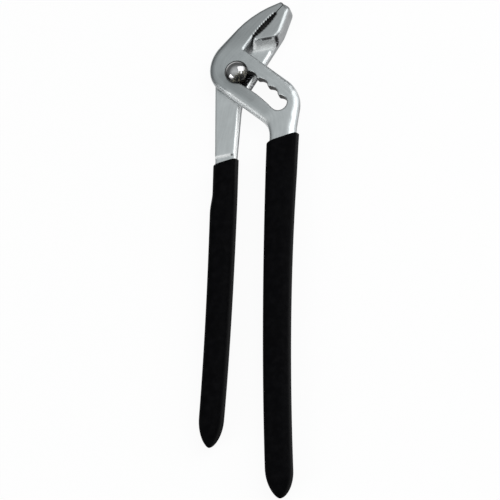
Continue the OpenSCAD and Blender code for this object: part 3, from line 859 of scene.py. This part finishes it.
# Key, whose flat faces the teeth of the slot: [height, inset]
KEY_RADIUS = 4.6
KEY_FLAT = 2.9
KEY_FACING = math.radians(SLOT_FIRST)
KEY_ROWS = ((12.2, 0.0), (12.15, 0.0), (4.9, 0.0), (4.6, 0.3))
# Thread, and the chamfered end of the bolt: [radius, height]
THREAD_TOP = 4.58
THREAD_LENGTH = 4.33
THREAD_ROWS = 36
THREAD_ROOT = 2.72
THREAD_DEPTH = 0.28
THREAD_PITCH = 1.0
BOLT_END = ((2.62, 0.16), (2.4, 0.0), (1.0, 0.0))


def head_profile():
    """The head and its neck as [radius, height], from the top down."""
    brow = HEAD_RADIUS - HEAD_EDGE
    widest = math.asin(brow / DOME_RADIUS)
    profile = [(DOME_POLE, HEAD_TOP)]
    for k in range(1, DOME_STEPS + 1):
        lean = widest * math.sin(math.radians(90) * k / DOME_STEPS)
        profile.append((DOME_RADIUS * math.sin(lean),
                        HEAD_TOP - DOME_RADIUS + DOME_RADIUS * math.cos(lean)))
    for k in range(1, BROW_STEPS + 1):
        a = math.radians(BROW_LEAN - BROW_LEAN * k / BROW_STEPS)
        profile.append((brow + HEAD_EDGE * math.cos(a), BROW_Z + HEAD_EDGE * math.sin(a)))
    for k in range(UNDER_STEPS + 1):
        a = math.radians(90 * k / UNDER_STEPS)
        profile.append((brow + HEAD_EDGE * math.cos(a),
                        HEAD_Z + HEAD_EDGE - HEAD_EDGE * math.sin(a)))
    return profile + list(NECK)


def key_reach(turn, inset):
    """Reach of the key's section in one direction."""
    reach = KEY_RADIUS - inset
    facing = math.cos(turn - KEY_FACING)
    if facing > 0 and reach * facing > KEY_FLAT - inset:
        reach = (KEY_FLAT - inset) / facing
    return reach


def thread_reach(turn, z):
    """Reach of the thread in one direction, at one height."""
    phase = (z / THREAD_PITCH - turn / (2 * math.pi)) % 1.0
    return THREAD_ROOT + THREAD_DEPTH * (1 - abs(2 * phase - 1))


def bolt_mesh(name):
    turns = [2 * math.pi * i / BOLT_SIDES for i in range(BOLT_SIDES)]

    def ring(z, reaches):
        return [(r * math.cos(a), r * math.sin(a), z) for r, a in zip(reaches, turns)]

    rings = [ring(z, [radius] * BOLT_SIDES) for radius, z in head_profile()]
    rings += [ring(z, [key_reach(a, inset) for a in turns]) for z, inset in KEY_ROWS]
    for k in range(THREAD_ROWS + 1):
        z = THREAD_TOP - THREAD_LENGTH * k / THREAD_ROWS
        rings.append(ring(z, [thread_reach(a, z) for a in turns]))
    rings += [ring(z, [radius] * BOLT_SIDES) for radius, z in BOLT_END]
    rings.reverse()
    return closed_rings(name, rings)


polish = polished_steel("polished_dome")
add_piece("domed_bolt", bolt_mesh("domed_bolt"), polish, "lower_lever",
          "pivot_bolt")


# The washers and the nut keep their CAD solids, with broken edges and a finish

BROKEN_SEGMENTS = 2
BROKEN_ANGLE = math.radians(35)
zinc = zinc_plated("zinc_plating")
# Each fastener's finish, and the width of its broken edges in mm
FASTENERS = {"head_washer": (polish, 0.12), "lock_washer": (zinc, 0.12), "pivot_nut": (zinc, 0.15)}
for fastener, (finish, width) in FASTENERS.items():
    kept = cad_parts[fastener]
    kept.data.materials.clear()
    kept.data.materials.append(finish)
    broken = kept.modifiers.new("broken_edges", "BEVEL")
    broken.width = width * MM
    broken.segments = BROKEN_SEGMENTS
    broken.limit_method = "ANGLE"
    broken.angle_limit = BROKEN_ANGLE
    broken.harden_normals = True


# Table, light and camera

# Half the table's side in metres, its height just clear of the tool, and its colour
TABLE_HALF = 6.0
TABLE_TOP = -0.02 * MM
TABLE_COLOUR = even_grey(0.95)
# Share of plain white in the table for the camera and for reflections; the rest takes the shadow
TABLE_WHITE = 0.93
SEEN_RAYS = ("Is Camera Ray", "Is Glossy Ray", "Is Transmission Ray")
# Light of the room: its level all round, how much more comes from overhead, and the share of both
# that comes from behind the camera
ROOM_COLOUR = (0.97, 1.0, 1.0)
ROOM_LEVEL = 0.17
OVERHEAD_LEVEL = 0.62
OVERHEAD_RISE = (0.45, 1.0)
BEHIND_SHARE = 0.3
BEHIND_FADE = (-0.9, 0.1)
# Soft lights: the point they face and their distance from it in metres, and as seen from there
# their bearing, height, half width, half height and roll in degrees, and their radiance
SOFTBOX_AIM = Vector((0.005, -0.03, 0.01))
SOFTBOX_DISTANCE = 1.6
SOFTBOXES = {
    "right_softbox": (22, 46, 33, 26, 10, 1.7),
    "right_strip": (12, 15, 32, 9, 8, 1.4),
    "left_softbox": (-147, 33, 18, 14, 0, 2.7),
}
# Camera at the photograph's viewing angle: places in metres, lens and sensor in mm
CAMERA_PLACE = Vector((0.274484, -0.592423, 1.066037))
CAMERA_AIM = Vector((0.006506, -0.109704, 0.0065))
CAMERA_UP = Vector((0, 1, 0))
CAMERA_LENS = 155.117
CAMERA_SENSOR = 36.0


def pale_table():
    corners = [(x * TABLE_HALF, y * TABLE_HALF, TABLE_TOP)
               for x, y in ((-1, -1), (1, -1), (1, 1), (-1, 1))]
    mesh = mesh_of("table", corners, [(0, 1, 2, 3)])
    table = bpy.data.objects.new("table", mesh)
    scene.collection.objects.link(table)
    f = new_finish("pale_table")
    matte = f.node("ShaderNodeBsdfDiffuse", None, {"Color": TABLE_COLOUR})
    white = f.node("ShaderNodeEmission", None, {"Color": WHITE, "Strength": 1.0})
    camera, glossy, clear = (f.node("ShaderNodeLightPath", output=ray) for ray in SEEN_RAYS)
    seen = camera.larger(glossy).larger(clear)
    surface = f.node("ShaderNodeMixShader", None, {0: TABLE_WHITE * seen, 1: matte, 2: white})
    f.node("ShaderNodeOutputMaterial", None, {"Surface": surface})
    mesh.materials.append(f.owner)


def studio_world():
    world = bpy.data.worlds.new("studio")
    scene.world = world
    w = Shades(world)
    direction = w.node("ShaderNodeTexCoord", output="Generated")
    overhead = w.axis(direction, "Z").step(*OVERHEAD_RISE)
    front = BEHIND_SHARE + (1 - BEHIND_SHARE) * w.axis(direction, "Y").step(*BEHIND_FADE)
    level = (ROOM_LEVEL + OVERHEAD_LEVEL * overhead) * front
    shade = w.mix(level, even_grey(0.0), ROOM_COLOUR)
    light = w.node("ShaderNodeBackground", None, {"Color": shade, "Strength": 1.0})
    w.node("ShaderNodeOutputWorld", None, {"Surface": light})


def facing_frame(place, wide, high, back):
    """A placement whose axes are the three given directions."""
    return Matrix.Translation(place) @ Matrix((wide, high, back)).transposed().to_4x4()


def softbox(name, bearing, height, half_width, half_height, roll, radiance):
    bearing, height, half_width, half_height, roll = (
        math.radians(v) for v in (bearing, height, half_width, half_height, roll))
    toward = Vector((math.cos(height) * math.cos(bearing),
                     math.cos(height) * math.sin(bearing), math.sin(height)))
    level = Vector((-math.sin(bearing), math.cos(bearing), 0))
    wide = math.cos(roll) * level - math.sin(roll) * toward.cross(level)
    lamp = bpy.data.lights.new(name, "AREA")
    lamp.shape = "RECTANGLE"
    lamp.size = 2 * SOFTBOX_DISTANCE * math.tan(half_width)
    lamp.size_y = 2 * SOFTBOX_DISTANCE * math.tan(half_height)
    lamp.energy = radiance * math.pi * lamp.size * lamp.size_y
    box = bpy.data.objects.new(name, lamp)
    box.matrix_world = facing_frame(SOFTBOX_AIM + toward * SOFTBOX_DISTANCE,
                                    wide, toward.cross(wide), toward)
    scene.collection.objects.link(box)


def photograph_camera():
    back = (CAMERA_PLACE - CAMERA_AIM).normalized()
    right = CAMERA_UP.cross(back).normalized()
    lens = bpy.data.cameras.new("camera")
    lens.lens = CAMERA_LENS
    lens.sensor_width = CAMERA_SENSOR
    camera = bpy.data.objects.new("camera", lens)
    camera.matrix_world = facing_frame(CAMERA_PLACE, right, back.cross(right), back)
    scene.collection.objects.link(camera)
    scene.camera = camera


pale_table()
studio_world()
for softbox_name, setting in SOFTBOXES.items():
    softbox(softbox_name, *setting)
photograph_camera()
scene.view_settings.view_transform = "Standard"
